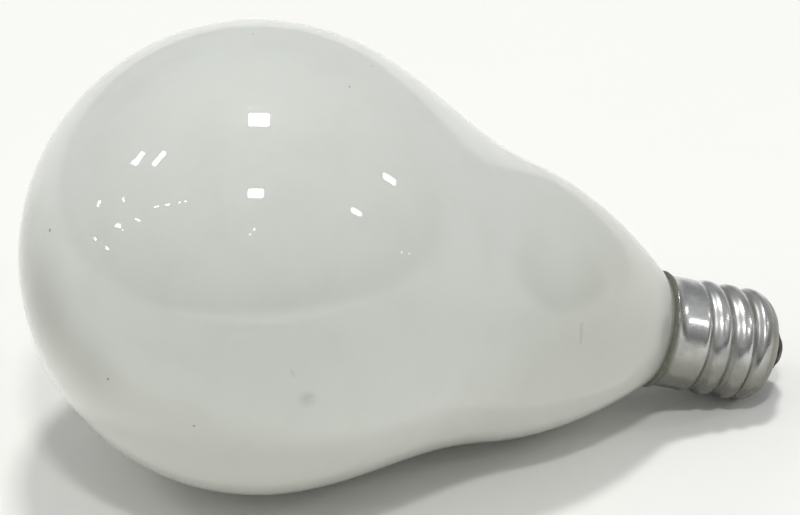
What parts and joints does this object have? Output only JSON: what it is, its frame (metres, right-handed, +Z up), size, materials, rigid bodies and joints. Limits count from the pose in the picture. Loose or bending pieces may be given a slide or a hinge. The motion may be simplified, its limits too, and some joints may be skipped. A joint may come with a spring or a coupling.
{
  "type": "dead light bulb",
  "caption": "Dead light bulb lying on its side: a white pear-shaped glass with specks and smudges of dirt, on a small dull metal screw cap with a black glass insulator.",
  "frame": {"origin": "on the surface the lamp lies on, below the middle of its bounding box", "axes": "+X along the lamp towards its cap, +Z up; the lamp's own axis is in the XZ plane and dips 19.7 degrees towards the cap"},
  "size_m": [0.079, 0.0476, 0.0475],
  "materials": {
    "soft_white_glass": "glossy outside, white coating inside, specked and smudged with dirt",
    "cap_sheet": "bright rolled sheet, dulled by handling",
    "cement": "matt, darkened by heat",
    "black_glass": "glossy",
    "contact_brass": "dull",
    "solder": "dull, scuffed where the contact presses",
    "lead_wire": "nickel-plated, dull"
  },
  "bodies": {
    "root": {"glass_bulb": "soft_white_glass", "screw_shell": "cap_sheet", "basing_cement": "cement", "insulator": "black_glass", "centre_contact": "contact_brass", "contact_solder": "solder", "side_solder": "solder", "centre_lead_wire": "lead_wire", "side_lead_wire": "lead_wire"}
  },
  "joints": []
}
